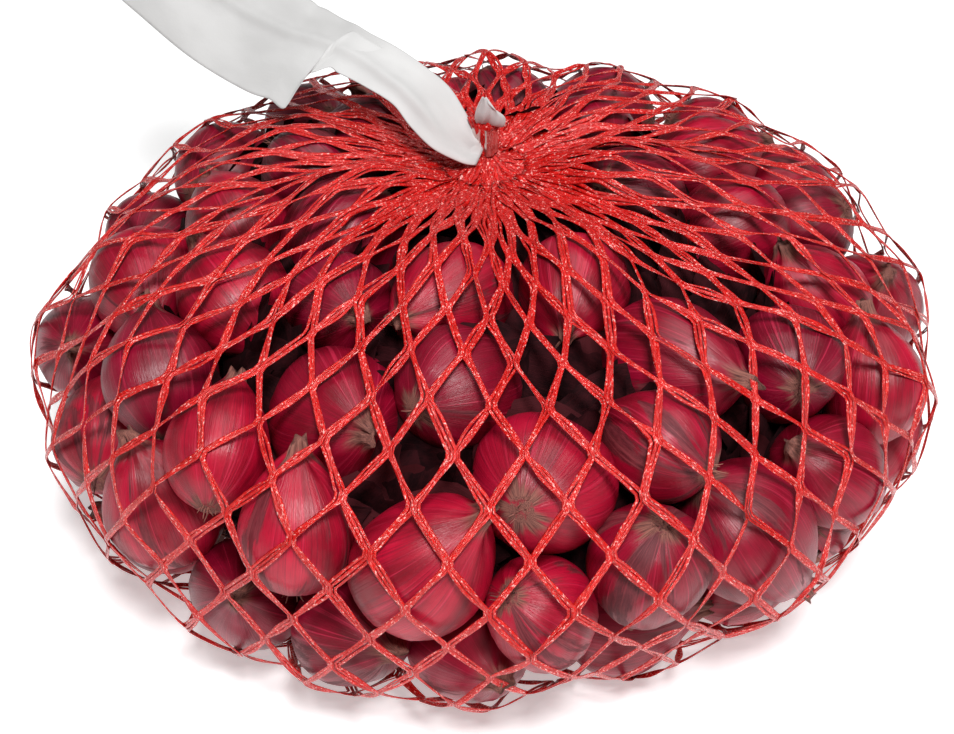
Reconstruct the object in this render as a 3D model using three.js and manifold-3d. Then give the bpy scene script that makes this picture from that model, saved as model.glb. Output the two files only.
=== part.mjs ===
// Mesh produce bag: tubular plastic netting, gathered and clipped shut at the top and underneath, full of
// shallots, with a film label strip caught in the top clip. Millimetres, +Z up, -Y is the front.
// The origin is on the flat underside of the gathered base that the bag rests on.

import * as THREE from "three";
import { mergeVertices } from "three/addons/utils/BufferGeometryUtils.js";
import Module from "manifold-3d";

// ---------------------------------------------------------------- driving dimensions

// The filled bag: half width in X, half depth in Y, height, height of its widest level, and how much of
// the plan is left at the level where it rests.
const BAG = { halfWidth: 124, halfDepth: 123, height: 105, widest: 52, foot: 0.68 };
// The top gather stands a little behind the middle.
const GATHER = { x: 0, y: 20, skirtRadius: 17, skirtHeight: 90.5, throatHeight: 98, throatRadius: 1.45 };
const STRAND = { width: 2.2, thickness: 1.1, cells: 26 };
const BASE = { radius: 30, thickness: 2.6 };
// The top clip is turned a little, and it stands off the throat to leave room for the film in it.
const CLIP = { width: 6.4, depth: 5.6, height: 8, wall: 0.6, corner: 1.4, turn: -25, off: 0.5 };
const FILM = { width: 34, thickness: 0.6 };
const GAP = 0.5; // between any two pieces that touch on the real bag
const HOLLOW = { rise: 30, radius: 38 }; // a ball over the gather that keeps a dish round it free of shallots
const FULLNESS = 2.3; // how far the bag's sides bulge: 2 would be an ellipse

// Shallots that show from the front and from above, placed by hand, level by level. Each entry is [azimuth,
// rise, turn, tilt, bulb radius, length]. azimuth 0 is +X and -90 the front; rise is the place up the side,
// -90 for the foot, 0 for the widest level and 90 for the top. turn 0 points the neck along the level and
// 90 up the side, and tilt points it out of the bag.
const FRONT_LEVELS = {
  foot: [
    [-168, -38, 60, 0, 14, 38],
    [-149, -54, 120, 0, 14, 38],
    [-126, -50, 65, 5, 14.5, 39],
    [-109, -52, 35, 0, 14, 38],
    [-92, -63, 55, -5, 15, 42],
    [-68, -74, 10, 0, 15, 40],
    [-46, -68, 20, 0, 14.5, 39],
    [-26, -56, -20, 5, 14, 38],
    [-21, -18, 110, 0, 14, 38],
    [-3, -36, 70, 0, 14.5, 39],
  ],
  waist: [
    [-172, 8, 70, 5, 14.5, 39],
    [-153, -6, 220, 0, 15, 41],
    [-133, 8, 95, 0, 14.5, 41],
    [-80, 5, -30, 0, 13, 37],
    [-98, 18, 5, 0, 16.5, 45],
    [-114, 22, 95, 5, 14, 39],
    [-74, 24, -20, 0, 14, 40],
    [-57, 14, -30, 0, 16.5, 46],
    [-36, 14, 140, 0, 14.5, 39],
    [-18, 12, 50, 0, 14, 38],
    [1, 10, 95, 0, 15, 41],
  ],
  shoulder: [
    [-173, 39, 20, 0, 15, 41],
    [-148, 32, 100, 0, 14, 38],
    [-127, 30, 100, 5, 13, 38],
    [-81, 40, 10, 0, 16.5, 45],
    [-63, 37, 130, 0, 13, 35],
    [-34, 37, -20, 0, 14.5, 40],
    [-12, 38, 60, 0, 15, 40],
    [12, 30, -45, 0, 14, 37],
  ],
  crown: [
    [180, 62, 165, 0, 14.5, 39],
    [-150, 58, 165, 0, 14.5, 40],
    [-117, 50, 0, 0, 16.5, 44],
    [-94, 52, 35, 0, 14.5, 40],
    [-51, 54, -40, 0, 16.5, 46],
    [-6, 58, 140, 0, 15, 41],
    [30, 56, -80, 0, 15, 40],
  ],
  top: [
    [-158, 75, 235, 0, 16, 44],
    [-125, 66, -60, 0, 14, 38],
    [-104, 71, 245, 0, 15, 42],
    [-60, 72, 260, 0, 14, 38],
    [4, 75, 60, 0, 14.5, 39],
    [51, 75, -50, 0, 14.5, 39],
    [141, 71, -90, 0, 15, 40],
    [166, 69, 105, 0, 14, 39],
  ],
};

// Shallots round the back, in sectors of azimuth. Those of one sector share a node.
const REAR = { from: 10, to: 166, sectors: 7, rises: [-46, 4, 34, 57], leftOut: 5 };
// Shallots that no side shows: layers of rings inside, as [height, share of the plan, count].
const INNER_RINGS = [
  [17, 0.46, 9],
  [17, 0.12, 2],
  [44, 0.56, 11],
  [45, 0.2, 4],
  [70, 0.3, 5],
];
const TYPICAL = { radius: 14.8, length: 40.5, spread: 1 };

// ---------------------------------------------------------------- small helpers

const rad = THREE.MathUtils.degToRad;
const V = (x, y, z) => new THREE.Vector3(x, y, z);
const UP = V(0, 0, 1);

// A repeatable stand-in for chance, from 0 to 1.
let seed = 7;
function chance() {
  seed = (seed * 16807) % 2147483647;
  return seed / 2147483647;
}

function geometryOf(points, triangles) {
  const geometry = new THREE.BufferGeometry();
  geometry.setAttribute("position", new THREE.Float32BufferAttribute(points.flatMap((p) => p.toArray()), 3));
  geometry.setIndex(triangles.flat());
  return geometry;
}

// ---------------------------------------------------------------- the bag's own surface

// A place on the bag's skin, at an azimuth and a rise.
function onSkin(azimuth, rise) {
  const t = rise / 90;
  const share = t < 0 ? 1 - (1 - BAG.foot) * (-t) ** 2.6 : Math.cos((t * Math.PI) / 2) ** 0.75;
  const height = t < 0 ? BAG.widest * (1 + t) : BAG.widest + (BAG.height - BAG.widest) * Math.sin((t * Math.PI) / 2);
  return V(
    BAG.halfWidth * share * Math.cos(rad(azimuth)),
    BAG.halfDepth * share * Math.sin(rad(azimuth)) + GATHER.y * 0.6 * Math.max(t, 0) ** 1.5,
    height,
  );
}

// The way along a level, the way up the side and the way out of the bag, at a place on the skin.
function waysAt(azimuth, rise) {
  const here = onSkin(azimuth, rise);
  const along = onSkin(azimuth + 1, rise).sub(here).normalize();
  const up = onSkin(azimuth, rise + 1).sub(here).normalize();
  return { along, up, out: along.clone().cross(up).normalize() };
}

function onBag(azimuth, rise, inset) {
  const skin = onSkin(azimuth, rise);
  return inset === 0 ? skin : skin.addScaledVector(waysAt(azimuth, rise).out, -inset);
}

// ---------------------------------------------------------------- shallots: packing

// A shallot is a bulb of radius R whose widest place is at 0.4 of its length from the root. For packing it
// is four balls on its axis, as [place along the length from the widest place, share of R].
const BALLS = [
  [-0.12, 0.8],
  [0, 1],
  [0.2, 0.72],
  [0.5, 0.3],
];

function shallot(name, centre, axis, radius, length) {
  const firm = name === "single" ? 0.12 : 0.02; // how firmly it keeps to its place
  return { name, centre, axis: axis.normalize(), radius, length, home: centre.clone(), firm };
}

function ballsOf(s) {
  return BALLS.map(([place, share]) => ({
    arm: place * s.length,
    at: s.centre.clone().addScaledVector(s.axis, place * s.length),
    radius: share * s.radius,
  }));
}

function shallotOnBag(name, azimuth, rise, turn, tilt, radius, length) {
  const centre = onBag(azimuth, rise, radius);
  const { along, up, out } = waysAt(azimuth, rise);
  const axis = along.multiplyScalar(Math.cos(rad(turn))).addScaledVector(up, Math.sin(rad(turn)));
  axis.multiplyScalar(Math.cos(rad(tilt))).addScaledVector(out, Math.sin(rad(tilt)));
  return shallot(name, centre, axis, radius, length);
}

const size = () => {
  const more = TYPICAL.spread * (2 * chance() - 1);
  return [TYPICAL.radius + more, TYPICAL.length + 3 * more];
};

function frontShallots() {
  return Object.values(FRONT_LEVELS)
    .flat()
    .map((place) => shallotOnBag("single", ...place));
}

function rearShallots() {
  const found = [];
  const width = (REAR.to - REAR.from) / REAR.sectors;
  for (let sector = 0; sector < REAR.sectors; sector++) {
    for (const rise of REAR.rises) {
      if (rise > 50 && sector % 2 === 0) continue; // the upper ring is shorter, so it holds fewer
      const shift = rise > 30 ? REAR.leftOut : 0; // the bag's top leans a little to the right at the back
      const azimuth = REAR.from - shift + (sector + 0.5) * width + 4 * (chance() - 0.5);
      found.push(shallotOnBag(`rear_shallots_${sector + 1}`, azimuth, rise, 360 * chance(), 0, ...size()));
    }
  }
  return found;
}

function innerShallots() {
  return INNER_RINGS.flatMap(([height, share, count]) =>
    Array.from({ length: count }, (_, k) => {
      const turn = (2 * Math.PI * (k + 0.5 * (height > 40))) / count;
      const centre = V(BAG.halfWidth * share * Math.cos(turn), BAG.halfDepth * share * Math.sin(turn), height);
      const axis = V(Math.cos(6 * turn + height), Math.sin(6 * turn + height), 0.3 * (chance() - 0.5));
      return shallot("inner_shallots", centre, axis, ...size());
    }),
  );
}

// Moves a shallot as if one of its balls had been pushed by that much: it shifts, and it turns.
function push(s, arm, by) {
  s.centre.addScaledVector(by, 0.75);
  s.axis.addScaledVector(by, (0.5 * arm) / (s.radius * s.radius)).normalize();
}

// How far a ball stands out of the bag, and which way is in.
function outside(at, radius) {
  const share = Math.hypot(at.x / (BAG.halfWidth - radius), at.y / (BAG.halfDepth - radius));
  const reach = at.z > BAG.widest ? BAG.height - radius - BAG.widest : BAG.widest * 1.5;
  const level = (at.z - BAG.widest) / reach;
  const far = (Math.abs(share) ** FULLNESS + Math.abs(level) ** FULLNESS) ** (1 / FULLNESS);
  const inward = V(-at.x / BAG.halfWidth, -at.y / BAG.halfDepth, -level).normalize();
  return { by: (far - 1) * BAG.halfDepth * 0.5, inward };
}

function settle(shallots, steps, hold) {
  const netFloor = STRAND.thickness + GAP;
  const baseFloor = BASE.thickness + GAP;
  const neckBall = { at: V(GATHER.x, GATHER.y, GATHER.skirtHeight + HOLLOW.rise), radius: HOLLOW.radius };
  for (let step = 0; step < steps; step++) {
    shallots.forEach((a, i) => {
      for (const b of shallots.slice(i + 1)) {
        if (a.centre.distanceTo(b.centre) > 0.6 * (a.length + b.length)) continue;
        for (const p of ballsOf(a)) {
          for (const q of ballsOf(b)) {
            const between = p.at.clone().sub(q.at);
            const deep = p.radius + q.radius + GAP - between.length();
            if (deep <= 0) continue;
            between.normalize().multiplyScalar(deep * 0.5);
            push(a, p.arm, between);
            push(b, q.arm, between.negate());
          }
        }
      }
      for (const p of ballsOf(a)) {
        const off = p.at.clone().sub(neckBall.at);
        const deep = p.radius + neckBall.radius - off.length();
        if (deep > 0) push(a, p.arm, off.normalize().multiplyScalar(deep));
        const { by, inward } = outside(p.at, p.radius);
        if (hold > 0 && by > 0) push(a, p.arm, inward.multiplyScalar(by * hold));
        const floor = Math.hypot(p.at.x, p.at.y) < BASE.radius + p.radius ? baseFloor : netFloor;
        if (p.at.z - p.radius < floor) push(a, p.arm, V(0, 0, floor - p.at.z + p.radius));
      }
      a.centre.lerp(a.home, a.firm * hold);
    });
  }
}

// ---------------------------------------------------------------- shallots: shape

// Radius of the bulb along its length, from the root plate to the dry neck, as shares of length and radius.
const BULB = [
  [0, 0.2],
  [0.1, 0.6],
  [0.24, 0.9],
  [0.4, 1],
  [0.55, 0.89],
  [0.7, 0.6],
  [0.84, 0.3],
  [1, 0.1],
];

function bulbGeometry(s, sides) {
  const rings = sides > 6 ? BULB : BULB.filter((ring, i) => i % 2 === 0 || i === BULB.length - 1);
  const outline = rings.map(([along, share]) => new THREE.Vector2(share * s.radius, (along - 0.4) * s.length));
  const profile = [new THREE.Vector2(0, outline[0].y), ...outline, new THREE.Vector2(0, outline.at(-1).y)];
  const geometry = new THREE.LatheGeometry(profile, sides);
  geometry.applyQuaternion(new THREE.Quaternion().setFromUnitVectors(V(0, 1, 0), s.axis));
  return geometry.translate(s.centre.x, s.centre.y, s.centre.z);
}

// A thin pin through the place where two shallots of one node press together.
function pinGeometry(a, b) {
  const between = b.centre.clone().sub(a.centre);
  const geometry = new THREE.CylinderGeometry(2, 2, between.length(), 3);
  geometry.applyQuaternion(new THREE.Quaternion().setFromUnitVectors(V(0, 1, 0), between.clone().normalize()));
  const middle = a.centre.clone().addScaledVector(between, 0.5);
  return geometry.translate(middle.x, middle.y, middle.z);
}

const wasm = await Module();
wasm.setup();

function solidOf(geometry) {
  const bare = geometry.clone();
  bare.deleteAttribute("normal");
  bare.deleteAttribute("uv");
  const merged = mergeVertices(bare, 1e-4);
  return new wasm.Manifold(
    new wasm.Mesh({
      numProp: 3,
      vertProperties: merged.attributes.position.array,
      triVerts: new Uint32Array(merged.index.array),
    }),
  );
}

function geometryFrom(solid) {
  const mesh = solid.getMesh();
  const geometry = new THREE.BufferGeometry();
  geometry.setAttribute("position", new THREE.BufferAttribute(new Float32Array(mesh.vertProperties), 3));
  return geometry.setIndex(new THREE.BufferAttribute(new Uint32Array(mesh.triVerts), 1));
}

// The shallots of one node as one body: each is pinned to the nearest one that is already in.
function joinedGeometry(shallots, sides) {
  const left = [...shallots];
  const inside = [left.shift()];
  let solid = solidOf(bulbGeometry(inside[0], sides));
  while (left.length) {
    let best = { far: Infinity };
    for (const a of inside) {
      for (const b of left) {
        const far = a.centre.distanceTo(b.centre);
        if (far < best.far) best = { far, a, b };
      }
    }
    left.splice(left.indexOf(best.b), 1);
    inside.push(best.b);
    solid = solid.add(solidOf(bulbGeometry(best.b, sides))).add(solidOf(pinGeometry(best.a, best.b)));
  }
  return geometryFrom(solid);
}

// ---------------------------------------------------------------- netting

// Where the netting's rows run, from the ring round the neck to the ring round the gathered base, as places
// up the side. Past the foot the rows lie flat underneath, at a share of the half width.
const NETTING_WAY = [
  ...[84, 74, 64, 54, 44, 33, 22, 11, -3, -25, -50, -74].map((rise) => ({ rise })),
  { share: 0.6 },
  { share: 0.45 },
  { share: (BASE.radius + 3) / BAG.halfWidth },
];

// The netting's crossings, and how they follow each other down. Every other row is turned by half a cell.
// The rows keep to the bag's own surface, and stand out where a shallot pushes them out.
function drapedNetting(shallots) {
  const { cells, thickness } = STRAND;
  const rows = NETTING_WAY.length - 1;
  const flat = thickness / 2 + 0.1;
  const at = (k, row) => row * cells + ((k + cells) % cells);
  const below = (k, row) => (row % 2 ? [at(k, row + 1), at(k + 1, row + 1)] : [at(k - 1, row + 1), at(k, row + 1)]);
  const crossings = NETTING_WAY.flatMap(({ rise, share }, row) =>
    Array.from({ length: cells }, (_, k) => {
      const azimuth = (360 * (k + 0.5 * (row % 2))) / cells;
      const round = V(Math.cos(rad(azimuth)), Math.sin(rad(azimuth)), 0);
      const held = { lift: 0, held: true };
      if (share) return { ...held, skin: round.multiplyScalar(BAG.halfWidth * share).setZ(flat), out: V(0, 0, -1) };
      if (row === 0) {
        const ring = round.multiplyScalar(GATHER.skirtRadius + 3);
        return { ...held, skin: ring.add(V(GATHER.x, GATHER.y, GATHER.skirtHeight + 0.5)), out: V(0, 0, 1) };
      }
      return { skin: onSkin(azimuth, rise), out: waysAt(azimuth, rise).out, lift: -6 };
    }),
  );
  const links = [];
  for (let row = 0; row < rows; row++) {
    for (let k = 0; k < cells; k++) links.push(...below(k, row).map((b) => [at(k, row), b]));
  }
  const balls = shallots.flatMap(ballsOf);
  const place = (c) => {
    const p = c.skin.clone().addScaledVector(c.out, c.lift);
    return p.setZ(Math.max(p.z, flat));
  };
  const STEPS = 110;
  for (let step = 0; step < STEPS; step++) {
    const pull = step < 0.7 * STEPS ? 0.25 : 0; // the netting is taut, until the last steps
    const need = crossings.map(() => 0);
    for (const [a, b] of links) {
      const [from, to] = [place(crossings[a]), place(crossings[b])];
      for (const t of [0, 0.17, 0.33, 0.5, 0.67, 0.83, 1]) {
        const p = from.clone().lerp(to, t);
        const out = crossings[a].out.clone().lerp(crossings[b].out, t);
        for (const ball of balls) {
          const off = p.clone().sub(ball.at);
          const deep = ball.radius + thickness / 2 + GAP - off.length();
          if (deep <= 0) continue;
          const lift = (0.6 * deep) / Math.max(out.dot(off.normalize()), 0.5);
          need[a] = Math.max(need[a], lift * (1 - t));
          need[b] = Math.max(need[b], lift * t);
        }
      }
    }
    crossings.forEach((c, i) => {
      if (!c.held) c.lift += need[i] || -pull;
    });
  }
  return { netting: crossings.map(place), outs: crossings.map((c) => c.out), at, below, rows };
}

// Each link is a three-sided bar with its flat side out, and each crossing is where four bars meet.
function nettingGeometry(shallots) {
  const { cells, width, thickness } = STRAND;
  const { netting, outs, at, below, rows } = drapedNetting(shallots);
  const points = [];
  const triangles = [];
  const crossings = netting.map(() => ({ ends: [null, null, null, null], corner: [], under: 0 }));
  // Ends in order, seen from outside: up-right, up-left, down-left, down-right.
  for (let row = 0; row < rows; row++) {
    for (let k = 0; k < cells; k++) {
      const [left, right] = below(k, row);
      crossings[at(k, row)].ends[2] = left;
      crossings[at(k, row)].ends[3] = right;
      crossings[left].ends[0] = at(k, row);
      crossings[right].ends[1] = at(k, row);
    }
  }
  const add = (p) => points.push(p) - 1;
  crossings.forEach((c, i) => {
    const here = netting[i];
    const ways = c.ends.map((e) => (e === null ? null : netting[e].clone().sub(here).normalize()));
    const out = outs[i];
    c.under = add(here.clone().addScaledVector(out, -thickness / 2));
    for (let k = 0; k < 4; k++) {
      const [a, b] = [ways[k], ways[(k + 1) % 4]];
      if (!a || !b) continue;
      const half = Math.max(a.angleTo(b) / 2, 0.2);
      const reach = Math.min(width / 2 / Math.sin(half), 1.5 * width);
      const toward = a.clone().add(b).projectOnPlane(out).normalize();
      c.corner[k] = add(here.clone().addScaledVector(toward, reach).addScaledVector(out, thickness / 2));
    }
    // A crossing of the first or last row has two ends, so its outer corners are one.
    if (!ways[0] || !ways[3]) {
      const inner = ways[0] ? ways[0].clone().add(ways[1]) : ways[2].clone().add(ways[3]);
      const outward = inner.projectOnPlane(out).normalize().multiplyScalar(-width / 2);
      const outer = here.clone().add(outward).addScaledVector(out, thickness / 2);
      c.corner[1] = c.corner[3] = add(outer);
    } else {
      triangles.push([c.corner[0], c.corner[1], c.corner[2]], [c.corner[0], c.corner[2], c.corner[3]]);
    }
  });
  // Two triangles that meet on the diagonal that stands out more, so that a twisted bar stays convex.
  const quad = (a, b, c, d) => {
    const [p, q, r, s] = [a, b, c, d].map((i) => points[i]);
    const normal = r.clone().sub(p).cross(s.clone().sub(q));
    const standsOut = p.clone().add(r).sub(q).sub(s).dot(normal) > 0;
    triangles.push(...(standsOut ? [[a, b, c], [a, c, d]] : [[b, c, d], [b, d, a]]));
  };
  crossings.forEach((from) => {
    for (const k of [2, 3]) {
      if (from.ends[k] === null) continue;
      const to = crossings[from.ends[k]];
      const [aL, aR] = [from.corner[k], from.corner[k - 1]];
      const [bL, bR] = [to.corner[k - 2], to.corner[(k + 1) % 4]];
      quad(aR, bL, bR, aL);
      quad(bL, aR, from.under, to.under);
      quad(aL, bR, to.under, from.under);
    }
  });
  return geometryOf(points, triangles);
}

// ---------------------------------------------------------------- gathers and clips

// A pleated solid of revolution: the pleats deepen with the radius.
function pleatedGeometry(profile, pleats, depth, sides) {
  const geometry = new THREE.LatheGeometry(profile.map(([r, z]) => new THREE.Vector2(r, z)), sides);
  geometry.rotateX(Math.PI / 2);
  const at = geometry.attributes.position;
  for (let i = 0; i < at.count; i++) {
    const turn = Math.atan2(at.getY(i), at.getX(i));
    const fold = 1 - depth * (0.5 + 0.5 * Math.cos(pleats * turn));
    at.setXY(i, at.getX(i) * fold, at.getY(i) * fold);
  }
  return geometry;
}

// The bunched netting from the skirt, up through the clip, to the cut tuft above it.
function neckGeometry() {
  const { skirtRadius, skirtHeight, throatHeight, throatRadius } = GATHER;
  const top = throatHeight + CLIP.height + 1.5;
  const profile = [
    [0, skirtHeight + 1],
    [skirtRadius - 4, skirtHeight - 0.5],
    [skirtRadius, skirtHeight - 0.5],
    [skirtRadius - 2, skirtHeight + 1.6],
    [8, skirtHeight + 4.2],
    [4, throatHeight - 1.5],
    [throatRadius, throatHeight],
    [throatRadius, top],
    [2.6, top + 3],
    [0, top + 2.2],
  ];
  return pleatedGeometry(profile, 12, 0.1, 24).translate(GATHER.x, GATHER.y, 0);
}

// A strip of metal bent round into a closed band, with the seam where its two ends meet.
function clipGeometry(width, depth, height, wall, corner) {
  const [w, d] = [width / 2, depth / 2];
  const seam = 0.25;
  const band = new THREE.Shape();
  const turnRound = (r, x, y, from, to, back) => band.absarc(x, y, r, rad(from), rad(to), back);
  band.moveTo(seam, -d);
  turnRound(corner, w - corner, corner - d, 270, 360, false);
  turnRound(corner, w - corner, d - corner, 0, 90, false);
  turnRound(corner, corner - w, d - corner, 90, 180, false);
  turnRound(corner, corner - w, corner - d, 180, 270, false);
  band.lineTo(-seam, -d);
  const inner = corner - wall;
  band.lineTo(-seam, wall - d);
  turnRound(inner, corner - w, corner - d, 270, 180, true);
  turnRound(inner, corner - w, d - corner, 180, 90, true);
  turnRound(inner, w - corner, d - corner, 90, 0, true);
  turnRound(inner, w - corner, corner - d, 360, 270, true);
  band.lineTo(seam, wall - d);
  band.closePath();
  return new THREE.ExtrudeGeometry(band, { depth: height, bevelEnabled: false, curveSegments: 3 });
}

const CLIP_ACROSS = V(Math.cos(rad(CLIP.turn)), Math.sin(rad(CLIP.turn)), 0);
const CLIP_BACK = V(-Math.sin(rad(CLIP.turn)), Math.cos(rad(CLIP.turn)), 0);
const CLIP_FOOT = V(GATHER.x, GATHER.y, GATHER.throatHeight + 0.8).addScaledVector(CLIP_BACK, CLIP.off);

function topClipGeometry() {
  const { width, depth, height, wall, corner } = CLIP;
  return clipGeometry(width, depth, height, wall, corner)
    .rotateZ(rad(CLIP.turn))
    .translate(...CLIP_FOOT.toArray());
}

// The netting gathered flat under the bag, with a notch for the clip that lies in it.
const NOTCH = { from: 10, halfWidth: 5 };
function baseGeometry() {
  const outline = new THREE.Shape();
  const pleats = 20;
  const open = Math.asin(NOTCH.halfWidth / BASE.radius);
  const steps = 80;
  for (let k = 0; k <= steps; k++) {
    const turn = open + ((2 * Math.PI - 2 * open) * k) / steps;
    const radius = BASE.radius * (1 - 0.025 * (1 - Math.cos(pleats * turn)));
    outline[k ? "lineTo" : "moveTo"](radius * Math.cos(turn), radius * Math.sin(turn));
  }
  outline.lineTo(NOTCH.from, -NOTCH.halfWidth);
  outline.lineTo(NOTCH.from, NOTCH.halfWidth);
  outline.closePath();
  return new THREE.ExtrudeGeometry(outline, { depth: BASE.thickness, bevelEnabled: false });
}

// The netting's bottom end: it leaves the gathered base, passes through the lower clip and flares out.
const TAIL = { halfWidth: 1.6, thickness: 0.8, flare: 3.8, height: 0.9 };
function baseTailGeometry() {
  const { halfWidth, thickness, flare, height } = TAIL;
  const [from, clipEnd, to] = [NOTCH.from + 0.4, NOTCH.from + 2.6 + CLIP.height, BASE.radius - 1.5];
  const outline = new THREE.Shape();
  outline.moveTo(from, -halfWidth);
  outline.lineTo(clipEnd, -halfWidth);
  outline.lineTo(to, -flare);
  outline.lineTo(to - 1.5, -flare / 3);
  outline.lineTo(to, 0);
  outline.lineTo(to - 1.5, flare / 3);
  outline.lineTo(to, flare);
  outline.lineTo(clipEnd, halfWidth);
  outline.lineTo(from, halfWidth);
  outline.closePath();
  return new THREE.ExtrudeGeometry(outline, { depth: thickness, bevelEnabled: false }).translate(0, 0, height);
}

function bottomClipGeometry() {
  const flat = { width: 5, depth: 2.5, corner: 0.95, wall: 0.4 };
  return clipGeometry(flat.width, flat.depth, CLIP.height, flat.wall, flat.corner)
    .rotateX(Math.PI)
    .rotateX(Math.PI / 2)
    .rotateZ(-Math.PI / 2)
    .translate(NOTCH.from + 2, 0, flat.depth / 2 + 0.05);
}

// ---------------------------------------------------------------- label strip

// A strip of film: at each station a place, the way across it and a width.
function filmGeometry(stations) {
  const points = [];
  const triangles = [];
  const last = stations.length - 1;
  stations.forEach(({ at, across, width }, i) => {
    const ahead = stations[Math.min(i + 1, last)].at.clone().sub(stations[Math.max(i - 1, 0)].at).normalize();
    const side = across.clone().addScaledVector(ahead, -across.dot(ahead)).normalize();
    const out = ahead.clone().cross(side).multiplyScalar(FILM.thickness / 2);
    for (const [s, o] of [[-1, -1], [1, -1], [1, 1], [-1, 1]]) {
      points.push(at.clone().addScaledVector(side, (s * width) / 2).addScaledVector(out, o));
    }
  });
  triangles.push([0, 2, 1], [0, 3, 2]);
  for (let i = 0; i < last; i++) {
    for (let k = 0; k < 4; k++) {
      const [a, b] = [4 * i + k, 4 * i + ((k + 1) % 4)];
      // Both faces of the film are split along the same diagonal, so that a twist keeps its thickness.
      if (k < 2) triangles.push([a, b, b + 4], [a, b + 4, a + 4]);
      else triangles.push([a, b, a + 4], [b, b + 4, a + 4]);
    }
  }
  const end = 4 * last;
  triangles.push([end, end + 1, end + 2], [end, end + 2, end + 3]);
  return geometryOf(points, triangles);
}

// The middle line of the strip, from the pinched place beside the clip's foot to the cut end above the back
// of the bag, as [x, y, z, share of the film's width]. The strip turns up and down about its first point.
const LABEL_ROUTE = [
  [-6.2, 16, 100.6, 0.1],
  [-11, 18.5, 106.6, 0.42],
  [-22, 24, 116, 0.55],
  [-37, 33, 121.5, 0.6],
  [-48, 40, 122, 0.85],
  [-60, 48, 121, 1],
  [-78, 62, 121, 1],
  [-97, 79, 124, 1],
  [-112, 93, 128, 1],
];
const LABEL_ACROSS = V(0.56, 0.68, 0.47);

function labelStripGeometry() {
  const line = new THREE.CatmullRomCurve3(LABEL_ROUTE.map(([x, y, z]) => V(x, y, z)));
  const STATIONS = 36;
  const last = LABEL_ROUTE.length - 1;
  const stations = Array.from({ length: STATIONS + 1 }, (_, i) => {
    const t = i / STATIONS;
    const k = Math.min(Math.floor(t * last), last - 1);
    const share = THREE.MathUtils.lerp(LABEL_ROUTE[k][3], LABEL_ROUTE[k + 1][3], t * last - k);
    return { at: line.getPoint(t), across: LABEL_ACROSS, width: share * FILM.width };
  });
  return filmGeometry(stations);
}

// The end of the strip that passes up through the clip and fans out above it.
function labelEndGeometry() {
  const slot = CLIP.depth / 2 - CLIP.wall - FILM.thickness / 2 - 0.3;
  const rows = [
    [-0.3, 3, 0],
    [CLIP.height, 3, 0],
    [CLIP.height + 2.8, 6.4, 1.6],
    [CLIP.height + 8, 9.5, 3.4],
  ];
  const stations = rows.map(([rise, width, lean]) => ({
    at: CLIP_FOOT.clone().addScaledVector(CLIP_BACK, slot + lean).addScaledVector(UP, rise),
    across: CLIP_ACROSS,
    width,
  }));
  return filmGeometry(stations);
}

// ---------------------------------------------------------------- assembly

const MATERIALS = {
  netting: new THREE.MeshStandardMaterial({ color: 0xd81e12, roughness: 0.4, metalness: 0 }),
  shallot: new THREE.MeshStandardMaterial({ color: 0x8e1233, roughness: 0.35, metalness: 0 }),
  film: new THREE.MeshStandardMaterial({ color: 0xe9e8e6, roughness: 0.55, metalness: 0 }),
  clip: new THREE.MeshStandardMaterial({ color: 0xb9b3ae, roughness: 0.35, metalness: 1 }),
};

const bag = new THREE.Group();
function addPiece(name, geometry, material) {
  const mesh = new THREE.Mesh(geometry, MATERIALS[material]);
  mesh.name = name;
  bag.add(mesh);
}

const front = frontShallots();
const rear = rearShallots();
const inner = innerShallots();
const all = [...front, ...rear, ...inner];
settle(all, 260, 1);
settle(all, 240, 0);

front.forEach((s, i) => addPiece(`shallot_${String(i + 1).padStart(2, "0")}`, bulbGeometry(s, 8), "shallot"));
for (let sector = 1; sector <= REAR.sectors; sector++) {
  const name = `rear_shallots_${sector}`;
  addPiece(name, joinedGeometry(rear.filter((s) => s.name === name), 8), "shallot");
}
addPiece("inner_shallots", joinedGeometry(inner, 6), "shallot");

addPiece("netting", nettingGeometry(all), "netting");
addPiece("netting_neck", neckGeometry(), "netting");
addPiece("netting_base", baseGeometry(), "netting");
addPiece("netting_base_tail", baseTailGeometry(), "netting");
addPiece("top_clip", topClipGeometry(), "clip");
addPiece("bottom_clip", bottomClipGeometry(), "clip");
addPiece("label_end", labelEndGeometry(), "film");
addPiece("label_strip", labelStripGeometry(), "film");

export default bag;
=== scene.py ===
"""Looks of the mesh produce bag: shallots in a tube of red netting, clipped shut, with a film strip."""

import math

import bmesh
import bpy
import numpy as np
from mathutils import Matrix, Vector


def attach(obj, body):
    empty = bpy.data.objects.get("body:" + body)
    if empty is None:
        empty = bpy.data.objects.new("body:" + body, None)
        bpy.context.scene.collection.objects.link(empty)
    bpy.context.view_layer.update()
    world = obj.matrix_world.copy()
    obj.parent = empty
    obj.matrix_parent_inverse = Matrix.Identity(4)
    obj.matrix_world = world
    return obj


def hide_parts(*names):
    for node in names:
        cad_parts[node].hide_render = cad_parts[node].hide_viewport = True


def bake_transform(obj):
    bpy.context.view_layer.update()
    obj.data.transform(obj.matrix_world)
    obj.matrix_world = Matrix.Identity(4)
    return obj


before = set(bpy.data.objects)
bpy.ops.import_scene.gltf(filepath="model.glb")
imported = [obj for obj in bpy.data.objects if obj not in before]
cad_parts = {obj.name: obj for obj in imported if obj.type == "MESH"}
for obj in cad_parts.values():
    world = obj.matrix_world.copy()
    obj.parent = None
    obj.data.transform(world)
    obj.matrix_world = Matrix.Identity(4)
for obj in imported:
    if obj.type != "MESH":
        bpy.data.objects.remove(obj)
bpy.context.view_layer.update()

MM = 0.001
RNG = np.random.default_rng(11)

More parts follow.
